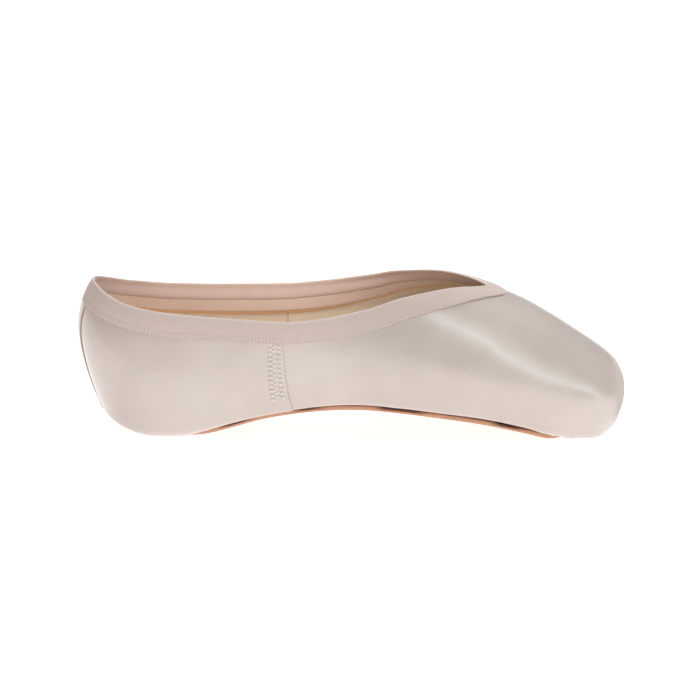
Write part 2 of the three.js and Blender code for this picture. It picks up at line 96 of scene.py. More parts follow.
FURROW = 5.2  # the sewn furrow inside lies this far below the rim
SHADOW_TOP, SHADOW_FOOT = 10.6, 12.1  # the painted shadow line below the tape's inner leaf, by distance from the rim
INSOLE_RISE = 0.6  # the board lies this far over the floor
INSOLE_THICK, INSOLE_WIDER = 1.5, 1.5
GAP = 0.3
LASTING_MARGIN = 1.2
HEEL_ROUND = 27.0
CORNER_LONG, CORNER_HIGH = 34.0, 14.0
HEEL_WAIST = 46.0
LEAN_BELOW, LEAN_ABOVE = 7.8, 5.8
LEAN_CURVE_BELOW, LEAN_CURVE_ABOVE = 1.6, 2
LEAN_REACH = 60  # the lean has faded out this far along the shoe
TOE_ROUND, TOE_TURN = 13.0, math.radians(75)  # the edge round the platform, and how far it turns
TOE_BLEND = 20.0
INSET_SIDE, INSET_TOP, INSET_UNDER = 9.5, 7.3, 14.2
PLATFORM_CROWN = 2.6
SQUARE_OVER, SQUARE_FLOOR = 2.0, 3.8
SQUARE_BLEND = 0.8  # share of half a section's height over which the squareness passes from below to above
PARED = 0.6  # taken off the sole's lower edge
CHANNEL_IN, CHANNEL_HALF, CHANNEL_DEEP = 3.5, 0.6, 0.35  # the sewn channel round the tread

# Columns: place along the shoe, half width, tread, underside, widest line, crown, squareness below.
LAST = np.array([
    (0, 26, 0, 0.4, 17, 73, 3.2),
    (20, 26.3, 0, 0.4, 17, 76, 3.2),
    (42, 27.2, 0, 0.7, 18, 84, 3.2),
    (52, 27.6, 1.3, 3, 19.5, 86.5, 3.2),
    (64, 28.3, 5, 7.1, 22, 90, 3.2),
    (78, 29.3, 9.1, 11.4, 25, 95, 3.2),
    (92, 30.4, 11.8, 14.1, 27.6, 96, 3.2),
    (103, 31.3, 13.3, 15.6, 28.9, 87, 3.3),
    (112, 32.2, 14.1, 16.4, 29.6, 79.5, 3.4),
    (122, 33.4, 14.4, 16.7, 30, 74.6, 3.6),
    (138, 35.4, 13.5, 15.8, 29.5, 70.6, 3.9),
    (155, 36.8, 11.8, 14.1, 28, 68, 4.1),
    (172.5, 36.4, 9, 11.3, 25.5, 63.1, 4.1),
    (188, 34, 5.2, 6.9, 22, 57, 4),
    (203, 30.5, 1.2, 1, 18.5, 48.3, 3.8),
    (212, 28.2, 0.4, -0.35, 17, 42.3, 3.7),
    (222, 25.6, 0.3, -0.35, 16.5, 35.9, 3.6),
    (232, 23.2, 0.3, -0.35, 16.5, 31.8, 3.6),
])
HALF, TREAD, UNDER, WIDEST, CROWN, SQUARE = range(1, 7)

RIM_HIGH = np.array([
    (0, 65.2), (9, 61.8), (19, 58.9), (38, 56.3), (64, 55), (86, 54.4), (103, 55.8), (120, 58.8), (138, 62.3),
])
RIM_WIDE = np.array([(120, 25.6), (138, 20.4), (153, 15), (167, 7.6), (173.6, 4.6)])
THROAT = 173.6
THROAT_ROUND = 9.0

SOLE_WIDE = np.array([
    (20, 10.4), (32, 11), (42, 11.8), (52, 14.2), (64, 16.6), (78, 17.2), (95, 18.4), (115, 20.8), (138, 24),
    (158, 25.8), (175, 25.6), (190, 24), (209, 21.5),
])
SOLE_BACK, SOLE_FRONT, SOLE_ROUND = 20.0, 209.0, 14.0

SEAM_ABOUT = 88.0  # the side seam's mean place

# The quarter's front edge: height, place along the shoe.
SIDE_SEAM = np.array([(-5, 92.2), (17.8, 90.3), (24, 88.7), (29, 87.8), (38, 86.8), (47, 86.3), (70, 86)])

# Stretches where the satin stands off the sole, and the top of the sole's edge is painted dark as the gap's shade.
GAPS = ((57, 77), (89, 107), (124, 150), (173, 192))
GAP_OPENS, GAP_CLOSES = 6, 9  # over how long

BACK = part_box("outsole")[0][0] / MM - SOLE_BACK  # where the last's own zero lies in the frame, in mm


def along(table, column, x):
    """A table's column at x: a cubic through its rows whose slope at a row is the harmonic mean of its neighbours'
    rises, or level where they turn, so that it never overshoots. Level past both ends."""
    places, values = table[:, 0], table[:, column]
    rise = np.diff(values) / np.diff(places)
    both = rise[:-1] * rise[1:]
    inner = np.where(both > 0, 2 * both / np.where(both > 0, rise[:-1] + rise[1:], 1), 0)
    slope = np.concatenate([rise[:1], inner, rise[-1:]])
    i = np.clip(np.searchsorted(places, x, side="right") - 1, 0, len(places) - 2)
    length = places[i + 1] - places[i]
    s = np.clip((x - places[i]) / length, 0, 1)
    across = values[i + 1] - values[i]
    m0, m1 = slope[i] * length, slope[i + 1] * length
    return values[i] + s * (m0 + s * (3 * across - 2 * m0 - m1 + s * (m0 + m1 - 2 * across)))


def smooth(start, end, v):
    """0 before start, 1 after end, and 3s^2 - 2s^3 between them."""
    s = np.clip((v - start) / (end - start), 0, 1)
    return s * s * (3 - 2 * s)


def round_end(distance, length):
    """The share of its full width that a shape with a quarter-ellipse end has at a distance from that end."""
    return np.sqrt(1 - (1 - np.clip(distance / length, 0, 1)) ** 2)


HEEL_TURN = HEEL_ROUND * HALF_PI
TOE_START = SHOE_LENGTH - PLATFORM_CROWN - TOE_ROUND * math.sin(TOE_TURN)
GIRTH_TOE = HEEL_TURN + TOE_START - HEEL_ROUND
GIRTH_TIP = GIRTH_TOE + TOE_ROUND * TOE_TURN


def place_at(girth):
    """The place along the shoe for a girth, the way round the plan from the back seam: a quarter circle, a
    straight run, and an arc over the platform's edge."""
    heel = HEEL_ROUND * (1 - np.cos(np.clip(girth, 0, HEEL_TURN) / HEEL_ROUND))
    toe = TOE_ROUND * np.sin(np.clip(girth - GIRTH_TOE, 0, TOE_ROUND * HALF_PI) / TOE_ROUND)
    return heel + np.clip(girth - HEEL_TURN, 0, TOE_START - HEEL_ROUND) + toe


def girth_at(x):
    """The girth for a place along the shoe, up to the start of the toe's turn."""
    heel = HEEL_ROUND * np.arccos(1 - np.clip(x, 0, HEEL_ROUND) / HEEL_ROUND)
    return np.where(x < HEEL_ROUND, heel, HEEL_TURN + x - HEEL_ROUND)


def heel_lean(height):
    """How far the back of the heel stands forward of its waist at a height."""
    below = np.maximum(0, HEEL_WAIST - height) / (HEEL_WAIST - CORNER_HIGH)
    above = np.maximum(0, height - HEEL_WAIST) / (RIM_HIGH[0, 1] - HEEL_WAIST)
    return LEAN_BELOW * below ** LEAN_CURVE_BELOW + LEAN_ABOVE * above ** LEAN_CURVE_ABOVE


def wall_at(x):
    """The upper's wall: thin at the quarters, thicker at the box, smooth between."""
    return WALL_QUARTER + (WALL_BOX - WALL_QUARTER) * smooth(BOX_STARTS, BOX_FULL, x)


def section(girth, inset=0.0, floor=False):
    """The measures of the last's cross sections at these girths, drawn in by an inset. With floor, its underside is
    the one that lies over the sole inside the shoe."""
    x = place_at(girth)
    turn = np.where(girth < HEEL_TURN, np.sin(np.clip(girth, -HEEL_TURN, HEEL_TURN) / HEEL_ROUND), 1.0)
    edge = np.where(girth > GIRTH_TOE, 1 - np.cos(np.maximum(girth - GIRTH_TOE, 0) / TOE_ROUND), 0.0)
    corner = 1 - np.clip(x / CORNER_LONG, 0, 1)
    lift = CORNER_HIGH * (1 - np.sqrt(1 - corner ** 2))
    under = along(LAST, UNDER, x) + lift + INSET_UNDER * edge + inset
    tread = along(LAST, TREAD, x)
    if floor:
        under = np.maximum(under, tread + SOLE_THICK + GAP + LASTING_MARGIN + inset - wall_at(x))
    return {
        "x": x + inset * (np.clip(1 - x / HEEL_ROUND, 0, 1) - smooth(TOE_START - TOE_BLEND, SHOE_LENGTH, x)),
        "half": (along(LAST, HALF, x) - inset - INSET_SIDE * edge) * turn,
        "under": under,
        "widest": along(LAST, WIDEST, x),
        "crown": along(LAST, CROWN, x) - inset - INSET_TOP * edge,
        "square": SQUARE_FLOOR + 0 * x if floor else along(LAST, SQUARE, x),
        "fade": (1 - np.clip(x / LEAN_REACH, 0, 1)) ** 2,
    }


def point_on(s, angle):
    """A superellipse's point: -90 degrees is the middle of the underside, 0 the widest line and 90 the crown. Its
    height and its squareness pass smoothly from the lower to the upper half, and the heel leans."""
    c, n = np.cos(angle), np.sin(angle)
    over = smooth(-SQUARE_BLEND, SQUARE_BLEND, n)
    power = s["square"] + (SQUARE_OVER - s["square"]) * over
    reach = (np.abs(c) ** power + np.abs(n) ** power) ** (-1 / power)
    below, above = s["widest"] - s["under"], s["crown"] - s["widest"]
    height = s["widest"] + reach * n * (below + (above - below) * over)
    x = s["x"] + heel_lean(height) * s["fade"]
    y = reach * np.where(np.abs(c) < 1e-9, 0, c) * s["half"]
    return np.stack(np.broadcast_arrays(x, y, height), axis=-1)


def surface(girth, angle, inset=0.0, floor=False):
    """The last's point at a girth and an angle."""
    return point_on(section(np.asarray(girth, float), inset, floor), angle)


def walk(points):
    """The distance walked along an array's first axis, from 0."""
    steps = np.linalg.norm(np.diff(points, axis=0), axis=-1)
    return np.concatenate([np.zeros_like(steps[:1]), np.cumsum(steps, axis=0)])


def solve(low, high, too_low):
    """Halves the interval between two arrays until each angle is where too_low turns."""
    low, high = np.array(low, float), np.array(high, float)
    for _ in range(40):
        middle = (low + high) / 2
        below = too_low(middle)
        low, high = np.where(below, middle, low), np.where(below, high, middle)
    return (low + high) / 2


def angle_at_height(s, height):
    """The angle at which sections reach a height."""
    zero = 0 * s["x"]
    return solve(zero - HALF_PI, zero + HALF_PI, lambda a: point_on(s, a)[..., 2] < height)


def angle_at_half(s, half, end):
    """The angle, towards end, at which sections narrow to a half width."""
    zero = 0 * s["x"]
    return solve(zero, zero + end, lambda a: point_on(s, a)[..., 1] > half)


def rim_angle(girth):
    """The rim as an angle of the section: by its height behind, by its half width in front, smooth between."""
    x = place_at(girth)
    s = section(girth)
    front = smooth(RIM_WIDE[0, 0], RIM_HIGH[-1, 0], x)
    half = along(RIM_WIDE, 1, x) * round_end(THROAT - x, THROAT_ROUND)
    high = angle_at_height(s, along(RIM_HIGH, 1, x))
    wide = angle_at_half(s, half, HALF_PI)
    return np.where(x >= THROAT - 1e-9, HALF_PI, high + (wide - high) * front)


def sole_half(x, inset=0.0):
    """The outsole's half width, with its two round ends."""
    first, last, turn = SOLE_BACK + inset, SOLE_FRONT - inset, SOLE_ROUND - inset / 2
    return (along(SOLE_WIDE, 1, x) - inset) * round_end(x - first, turn) * round_end(last - x, turn)


def feather_angle(girth, clear=0.15):
    """The angle of the feather line, where the satin turns in over the edge of the sole; the keel where there is
    no sole."""
    x = place_at(girth)
    half = np.where((x > SOLE_BACK) & (x < SOLE_FRONT), sole_half(x) + clear, 0)
    return np.where(half > clear, angle_at_half(section(girth), half, -HALF_PI), -HALF_PI)


def slopes(girth, angle, inset=0.0):
    """The surface's point and its two derivatives, by small differences."""
    small = 1e-3
    here = surface(girth, angle, inset)
    by_girth = (surface(girth + small, angle, inset) - here) / small
    return here, by_girth, (surface(girth, angle + small, inset) - here) / small


def normalize(v):
    return v / np.maximum(np.linalg.norm(v, axis=-1, keepdims=True), 1e-12)


def outward(girth, angle, inset=0.0):
    """The unit normal that points away from the shoe, on its left half."""
    _, by_girth, by_angle = slopes(girth, angle, inset)
    return normalize(np.cross(by_angle, by_girth))


def step_over(girth, angle, direction, length):
    """One step over the surface, by solving the direction in terms of the two derivatives."""
    _, by_girth, by_angle = slopes(girth, angle)
    dot = lambda a, b: np.sum(a * b, axis=-1)
    e, f, g = dot(by_girth, by_girth), dot(by_girth, by_angle), dot(by_angle, by_angle)
    p, q = dot(direction, by_girth), dot(direction, by_angle)
    spread = e * g - f * f
    return girth + length * (p * g - q * f) / spread, angle + length * (q * e - p * f) / spread


RIM_STEPS = 150


def rim_path():
    """Girth, angle and distance walked along the rim's left half, from the back seam to the throat, closer spaced
    at its two ends."""
    fine = np.linspace(0, 1, 3001)
    girth = girth_at(THROAT) * np.sin(HALF_PI * fine)
    angle = rim_angle(girth)
    angle[-1] = HALF_PI
    walked = walk(surface(girth, angle))
    k = np.linspace(0, 1, RIM_STEPS + 1)
    wanted = walked[-1] * (k - np.sin(2 * math.pi * k) / 9)
    return np.interp(wanted, walked, girth), np.interp(wanted, walked, angle), wanted


RIM_GIRTH, RIM_ANGLE, RIM_WALKED = rim_path()


def rim_line(distance, steps=8):
    """Girths and angles of the line that lies a distance down the surface from the rim: short straight steps that
    start square to the rim and are laid back on the surface. The distance may change along the rim."""
    point = surface(RIM_GIRTH, RIM_ANGLE)
    tangent = np.gradient(point, axis=0)
    tangent[0], tangent[-1] = (0, 1, 0), (0, -1, 0)
    normal = outward(RIM_GIRTH, RIM_ANGLE)
    direction = normalize(np.cross(normal, tangent))
    girth, angle = RIM_GIRTH, RIM_ANGLE
    for _ in range(steps):
        girth, angle = step_over(girth, angle, direction, distance / steps)
        normal = outward(girth, angle)
        direction = normalize(direction - normal * np.sum(direction * normal, axis=-1, keepdims=True))
    return girth, angle


def under_tape(girth, down=CLOTH_ENDS):
    """The angle of the line that lies a little below the rim, where cloth and lining end inside the folded tape."""
    line_girth, line_angle = rim_line(down)
    order = np.argsort(line_girth)
    angle = np.interp(girth, line_girth[order], line_angle[order])
    return np.where(girth >= line_girth.max() - 0.05, HALF_PI, np.minimum(angle, rim_angle(girth)))


# From arrays to pieces


def quads(rows, columns, around=False):
    """The faces of a grid of points, its last column joined to its first where it goes round."""
    count = columns if around else columns - 1
    i, j = np.meshgrid(np.arange(rows - 1), np.arange(count), indexing="ij")
    k = (j + 1) % columns
    here, below = i * columns, (i + 1) * columns
    return np.stack([here + j, here + k, below + k, below + j], axis=-1).reshape(-1, 4)


def piece(name, grids, finishes, replaced, thick=0.0, rim=0):
    """One piece from grids of points in mm, each with its faces and its two pattern coordinates in mm. Points that
    fall together are made one, and a face that loses a corner by it becomes a triangle."""
    points, faces, marks, start = [], [], [], 0
    for grid in grids:
        flat = grid["points"].reshape(-1, 3)
        points.append(flat)
        marks.append(grid["marks"].reshape(-1, 2))
        faces.append(grid["faces"] + start)
        start += len(flat)
    points, marks, faces = np.concatenate(points), np.concatenate(marks), np.concatenate(faces)
    _, first, same = np.unique(np.round(points, 4), axis=0, return_index=True, return_inverse=True)
    same = same.reshape(-1)
    merged = same[faces]
    lost = merged == np.roll(merged, -1, axis=1)
    whole, cut = lost.sum(1) == 0, lost.sum(1) == 1
    corners = [*merged[whole].tolist(), *merged[cut][~lost[cut]].reshape(-1, 3).tolist()]
    whole_marks, cut_marks = marks[faces[whole]], marks[faces[cut]][~lost[cut]]
    corner_marks = np.concatenate([whole_marks.reshape(-1, 2), cut_marks.reshape(-1, 2)])
    mesh = bpy.data.meshes.new(name)
    place = (points[first] + (BACK, 0, 0)) * MM
    mesh.from_pydata(place.tolist(), [], corners)
    layer = mesh.uv_layers.new(name="cloth")
    layer.data.foreach_set("uv", (corner_marks * MM).astype(np.float32).ravel())
    mesh.polygons.foreach_set("use_smooth", np.full(len(mesh.polygons), True))
    for finish in finishes:
        mesh.materials.append(finish)
    mesh.update()
    made = bpy.data.objects.new(name, mesh)
    bpy.context.scene.collection.objects.link(made)
    if thick:
        wall = made.modifiers.new("cloth thickness", "SOLIDIFY")
        wall.thickness, wall.offset = thick * MM, -1
        wall.material_offset_rim = rim
    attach(made, "root")
    if replaced:
        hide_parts(replaced)
    return made


def both_sides(points, marks, turned=False):
    """A grid of the shoe's left half and its mirror image. Its faces look out, or in if they are turned."""
    faces = quads(*points.shape[:2])
    back = faces[:, ::-1]
    left = {"points": points, "marks": marks, "faces": faces if turned else back}
    right = {"points": points * (1, -1, 1), "marks": marks * (1, -1), "faces": back if turned else faces}
    return [left, right]


def both_bands(lines, marks):
    """A closed band along the rim's left half, given by its lines, and its mirror image."""
    points = np.stack(lines, axis=1)
    faces = quads(*points.shape[:2], around=True)
    left = {"points": points, "marks": marks, "faces": faces}
    return [left, {"points": points * (1, -1, 1), "marks": marks * (-1, 1), "faces": faces[:, ::-1]}]


# Finishes


class Reading:
    """One value that a finish works out over a surface. Signs of arithmetic on it add their own step."""

    def __init__(self, finish, socket):
        self.finish, self.socket = finish, socket

    def work(self, operation, *terms):
        return self.finish.step("ShaderNodeMath", {"operation": operation}, dict(enumerate(terms)))

    def __add__(self, other):
        return self.work("ADD", self, other)

    def __radd__(self, other):
        return self.work("ADD", other, self)

    def __sub__(self, other):
        return self.work("SUBTRACT", self, other)

    def __rsub__(self, other):
        return self.work("SUBTRACT", other, self)

    def __mul__(self, other):
        return self.work("MULTIPLY", self, other)

    def __rmul__(self, other):
        return self.work("MULTIPLY", other, self)

    def __truediv__(self, other):
        return self.work("DIVIDE", self, other)

    def __rtruediv__(self, other):
        return self.work("DIVIDE", other, self)

    def __mod__(self, other):
        return self.work("FLOORED_MODULO", self, other)

    def __neg__(self):
        return self.work("MULTIPLY", self, -1.0)

    def __abs__(self):
        return self.work("ABSOLUTE", self)

    def sine(self):
        return self.work("SINE", self)

    def most(self, other):
        return self.work("MAXIMUM", self, other)

    def passing(self, start, end):
        """0 where the value is before start, 1 past end and smooth between."""
        return self.finish.step(
            "ShaderNodeMapRange",
            {"interpolation_type": "SMOOTHSTEP"},
            {"Value": self, "From Min": start, "From Max": end},
        )


class Finish:
    """A procedural finish: a principled surface and the steps that work out what changes over it."""

    def __init__(self, name, **steady):
        self.material = bpy.data.materials.new(name)
        self.material.use_nodes = True
        self.tree = self.material.node_tree
        self.shader = self.tree.nodes["Principled BSDF"]
        for socket, value in steady.items():
            self.shader.inputs[socket.replace("_", " ")].default_value = value

    def step(self, kind, settings, sockets, result=0):
        node = self.tree.nodes.new(kind)
        for name, value in settings.items():
            setattr(node, name, value)
        for name, value in sockets.items():
            if isinstance(value, Reading):
                self.tree.links.new(value.socket, node.inputs[name])
            else:
                node.inputs[name].default_value = value
        return Reading(self, node.outputs[result])

    def place(self):
        return self.step("ShaderNodeTexCoord", {}, {}, "Object")

    def cloth(self):
        """The two pattern coordinates in mm."""
        mark = self.step("ShaderNodeUVMap", {"uv_map": "cloth"}, {})
        split = self.step("ShaderNodeSeparateXYZ", {}, {0: mark})
        down = Reading(self, split.socket.node.outputs[1])
        return split * 1000.0, down * 1000.0

    def axes(self):
        """Object coordinates in mm, one by one."""
        split = self.step("ShaderNodeSeparateXYZ", {}, {0: self.place()})
        return [Reading(self, split.socket.node.outputs[i]) * 1000.0 for i in range(3)]

    def spot(self, x, y, z=0.0):
        return self.step("ShaderNodeCombineXYZ", {}, {0: x, 1: y, 2: z})

    def noise(self, where, detail=2.0, rough=0.5):
        sockets = {"Vector": where, "Scale": 1.0, "Detail": detail, "Roughness": rough}
        return self.step("ShaderNodeTexNoise", {}, sockets)

    def blend(self, share, first, second):
        pick = lambda c: c if isinstance(c, Reading) else (*c, 1)
        return self.step("ShaderNodeMix", {"data_type": "RGBA"}, {0: share, 6: pick(first), 7: pick(second)}, 2)

    def paint(self, colour, roughness=None, height=None, deep=0.1, strength=1.0, **others):
        """Puts the worked out colour, roughness and relief on the surface. The relief's depth is in mm."""
        self.tree.links.new(colour.socket, self.shader.inputs["Base Color"])
        for socket, value in others.items():
            self.tree.links.new(value.socket, self.shader.inputs[socket.replace("_", " ")])
        if roughness is not None:
            self.tree.links.new(roughness.socket, self.shader.inputs["Roughness"])
        if height is not None:
            bump = self.step("ShaderNodeBump", {}, {"Strength": strength, "Distance": deep * MM, "Height": height})
            self.tree.links.new(bump.socket, self.shader.inputs["Normal"])
        return self.material


def satin_finish(name, light, shade):
    """Satin: its colour drifts between two near tones, long fine warp threads run along the shoe, and its gloss is
    broken by them and by soft unevenness of the cloth below. On the platform the gloss is taken off and the colour
    is darkened as painted shade."""
    f = Finish(name, Specular_IOR_Level=0.5, Coat_Roughness=0.23)
    u, v = f.cloth()
    x, y, z = f.axes()
    drift = f.noise(f.spot(x * 0.02, y * 0.02, z * 0.02), 3.0)
    warp = f.noise(f.spot(u * 0.35, v * 9.0))
    soft = f.noise(f.spot(u * 0.09, v * 0.14))
    colour = f.blend(drift.passing(0.3, 0.7), light, shade)
    colour = f.blend(warp * 0.10, colour, tuple(0.82 * c for c in shade))
    # painted shade: the platform's satin is darkened towards a deeper tone, and its coat, metal and gloss are taken
    # off
    platform_shade_and_matte = u.passing(GIRTH_TIP - 9, GIRTH_TIP)
    colour = f.blend(platform_shade_and_matte * 0.5, colour, tuple(0.8 * c for c in shade))
    gloss = 0.36 + warp * 0.10 + soft * 0.06 + platform_shade_and_matte * 0.35
    return f.paint(
        colour, gloss, warp * 0.03 + soft * 1.0, 0.5, 0.5, Coat_Weight=1.0 - platform_shade_and_matte, Metallic=0.22 - platform_shade_and_matte * 0.22
    )


def tape_finish():
    """Cotton twill tape: slanting ribs across it, a pinker tone inside with a lighter band below the sewn furrow, a
    painted highlight along the fold, and a needle hole between the stitches of the rows along its outer edge."""
    f = Finish("twill tape", Specular_IOR_Level=0.25, Sheen_Weight=0.2, Sheen_Roughness=0.5)
    u, v = f.cloth()
    rib = ((v * 1.3 - u) * (2 * math.pi / TWILL_PITCH)).sine() * 0.5 + 0.5
    fine = f.noise(f.spot(u * 2.2, v * 2.2))
    drift = f.noise(f.spot(u * 0.05, v * 0.1))
    deep = -v - FOLD_LONG
    outside = f.blend(rib, (0.495, 0.385, 0.345), (0.60, 0.485, 0.44))
    inner = f.blend(rib, (0.50, 0.345, 0.29), (0.63, 0.475, 0.415))
    lower = f.blend(rib, (0.80, 0.60, 0.52), (0.88, 0.70, 0.61))
    within = f.blend(deep.passing(5.0, 5.5), inner, lower)
    colour = f.blend(deep.passing(-1.4, -0.5), outside, within)
    colour = f.blend(drift.passing(0.35, 0.75) * 0.10, colour, (0.55, 0.42, 0.36))
    # painted highlight: a lighter band along the fold over the rim
    colour = f.blend((1 - abs(v + 1.0).passing(0.2, 0.9)) * 0.35, colour, (0.84, 0.74, 0.68))
    furrow = 1 - abs(deep - FURROW).passing(0.1, 0.5)
    colour = f.blend(furrow * 0.3, colour, (0.50, 0.30, 0.22))
    along_row = abs((abs(u) / STITCH_PITCH) % 1.0 - 0.5).passing(0.28, 0.42)
    rows = (1 - abs(v - STITCH_ROWS[0]).passing(0.15, 0.45)).most(
        (1 - abs(v - STITCH_ROWS[1]).passing(0.15, 0.45)) * (1 - abs(u).passing(REAR_ROW - 1, REAR_ROW))
    )
    holes = rows * along_row
    colour = f.blend(holes * 0.5, colour, (0.34, 0.25, 0.22))
    height = rib * 0.45 + fine * 0.3 - furrow - holes
    return f.paint(colour, 0.72 + fine * 0.15, height, 0.12, 0.8)


def lining_finish():
    """Cream canvas lining: a plain weave of small squares, its tone drifting at random, darker along the side seam.
    """
    f = Finish("canvas lining", Specular_IOR_Level=0.2, Sheen_Weight=0.1)
    u, v = f.cloth()
    thread = 2 * math.pi / WEAVE_PITCH
    weave = (u * thread).sine() * (v * thread).sine()
    drift = f.noise(f.spot(u * 0.06, v * 0.06), 3.0)
    colour = f.blend(drift, (0.93, 0.77, 0.62), (0.97, 0.84, 0.70))
    colour = f.blend(weave * 0.25 + 0.25, colour, (0.76, 0.62, 0.50))
    seam = 1 - abs(u - float(girth_at(SEAM_ABOUT))).passing(0.15, 0.4)
    colour = f.blend(seam * 0.6, colour, (0.55, 0.36, 0.22))
    return f.paint(colour, 0.85 + drift * 0.1, weave * 0.5 + 0.5, 0.12, 0.7)


def sole_finish():
    """Split leather: a tan of many small flecks, darker in clouds and in the sewn channel, with painted shade high
    on its edge where the satin stands off it."""
    f = Finish("sole leather", Specular_IOR_Level=0.3)
    x, y, z = f.axes()
    fleck = f.noise(f.spot(x * 1.3, y * 1.3, z * 1.3), 5.0, 0.65)
    cloud = f.noise(f.spot(x * 0.05, y * 0.09, z * 0.05), 3.0)
    u, v = f.cloth()
    colour = f.blend(fleck.passing(0.3, 0.7), (0.52, 0.255, 0.155), (0.66, 0.37, 0.245))
    colour = f.blend(cloud.passing(0.4, 0.7) * 0.4, colour, (0.44, 0.20, 0.115))
    gap_shade = 0.0
    for start, end in GAPS:
        gap_shade = gap_shade + u.passing(start, start + GAP_OPENS) * (1 - u.passing(end - GAP_CLOSES, end))
    # painted shade: the top of the sole's edge is darkened where the satin stands off it
    colour = f.blend(gap_shade * v.passing(0.9, 1.25) * 0.9, colour, (0.10, 0.04, 0.02))
    channel = v.passing(0.1, 0.3) * (1 - v.passing(0.4, 0.45))
    colour = f.blend(channel * 0.35, colour, (0.25, 0.12, 0.07))
    return f.paint(colour, 0.62 + fleck * 0.2, fleck, 0.15, 0.7)


def board_finish():
    """Insole board: pale tan with pressed fibres."""
    f = Finish("insole board", Specular_IOR_Level=0.2)
    x, y, z = f.axes()
    fibre = f.noise(f.spot(x * 0.8, y * 2.4, z * 0.8), 4.0, 0.6)
    colour = f.blend(fibre.passing(0.3, 0.7), (0.60, 0.42, 0.26), (0.72, 0.54, 0.36))
    return f.paint(colour, 0.8 + fibre * 0.1, fibre, 0.15, 0.5)


def plain_finish(name, dark, light, grain, rough):
    """Thread, and the painted shade on the cloth's edges and in the shadow line below the tape: two near tones in
    fine streaks.
    """
    f = Finish(name, Specular_IOR_Level=0.3)
    x, y, z = f.axes()
    streak = f.noise(f.spot(x * grain, y * grain, z * grain))
    return f.paint(f.blend(streak, dark, light), rough + streak * 0.1, streak, 0.08, 0.5)


SATIN = satin_finish("satin", (0.61, 0.515, 0.465), (0.54, 0.445, 0.40))
TAPE = tape_finish()
LINING = lining_finish()
LEATHER = sole_finish()
BOARD = board_finish()
# painted shade: the cloth's edges are a darker tan than the satin
CUT_EDGE_SHADE = plain_finish("shaded cut edge", (0.48, 0.35, 0.27), (0.60, 0.46, 0.38), 1.5, 0.7)
THREAD = plain_finish("thread", (0.66, 0.57, 0.55), (0.75, 0.67, 0.65), 4.0, 0.5)
TAPE_THREAD = plain_finish("tape thread", (0.60, 0.50, 0.46), (0.70, 0.60, 0.55), 4.0, 0.6)
# painted shadow: the tan line that lies on the lining below the tape's inner leaf
TAPE_SHADOW_LINE = plain_finish("painted shadow line", (0.86, 0.50, 0.28), (0.93, 0.60, 0.36), 2.0, 0.6)

# The satin upper

ROWS = 60
MARGIN = 6.0  # turned in under the insole


def seam_place(height):
    """The quarter's front edge at a height."""
    return along(SIDE_SEAM, 1, height)


def seam_girths(angle):
    """The girth at which each row of angles meets the side seam, by turns between height and place."""
    place = np.full(angle.shape, SEAM_ABOUT)
    for _ in range(6):
        place = seam_place(surface(girth_at(place), angle)[..., 2])
    return girth_at(place)


PLEAT_FROM, PLEAT_LONG, PLEAT_WIDE = 194, 15, 22.5  # the half ellipse of the sole's front end
PLEAT_DEEP, PLEAT_REACH, PLEAT_FOLDS = 0.8, 17, 8
PLEAT_LOW, PLEAT_HIGH = 5, 12  # they die out between these heights


def pleat(point):
    """How far the satin is gathered in under the toe: folds that fan out round the front end of the sole, deepest
    beside it."""
    forward, aside = (point[..., 0] - PLEAT_FROM) / PLEAT_LONG, np.abs(point[..., 1]) / PLEAT_WIDE
    turn = np.arctan2(aside, forward)
    fold = np.abs(np.sin(turn * PLEAT_FOLDS + 0.5 * np.sin(turn * 5))) ** 0.7
    away = (np.hypot(forward, aside) - 1) * PLEAT_REACH
    near = (1 - smooth(0, PLEAT_REACH, away)) * smooth(0.15, 0.6, forward)
    return PLEAT_DEEP * fold * near * (1 - smooth(PLEAT_LOW, PLEAT_HIGH, point[..., 2]))


def pucker(girth, feather_gap):
    """Soft unevenness where the satin is drawn in over the sole's edge: waves of two uneven lengths."""
    wave = 0.5 + 0.5 * np.sin(girth * 0.62 + 1.3 * np.sin(girth * 0.17))
    slow = 0.5 + 0.5 * np.sin(girth * 0.23 + 2.0)
    near = 1 - smooth(0, 13, feather_gap)
    return (0.16 * wave + 0.2 * slow) * near * near


# Soft ridges and troughs of the cloth: place along the shoe and height of the middle, half length, half width,
# slope, and how proud it is. A trough has a negative last number.
CREASES = (
    (30, 30, 16, 5, 0.5, 0.22), (52, 22, 14, 4, -0.35, -0.2), (66, 38, 12, 5, 0.7, 0.2), (74, 24, 9, 3, 1.0, -0.16),
    (104, 34, 14, 4, 0.4, -0.18), (118, 46, 16, 4, 0.25, 0.16), (136, 30, 18, 5, -0.3, 0.2),
    (150, 44, 15, 3.5, -0.25, -0.14), (168, 24, 14, 4, -0.5, -0.18), (190, 32, 12, 4, -0.8, 0.12),
)


def creased(point):
    """Height of the creases at points: each a bell across its run and along it."""
    total = 0 * point[..., 0]
    for x, z, length, wide, slope, high in CREASES:
        run = np.array([1, slope]) / math.hypot(1, slope)
        dx, dz = point[..., 0] - x, point[..., 2] - z
        ahead, aside = dx * run[0] + dz * run[1], dz * run[0] - dx * run[1]
        total = total + high * np.exp(-((ahead / length) ** 2) - (aside / wide) ** 2)
    return total


def gaping(x):
    """The share of a gap that is open at a place."""
    return sum(smooth(start, start + GAP_OPENS, x) * (1 - smooth(end - GAP_CLOSES, end, x)) for start, end in GAPS)


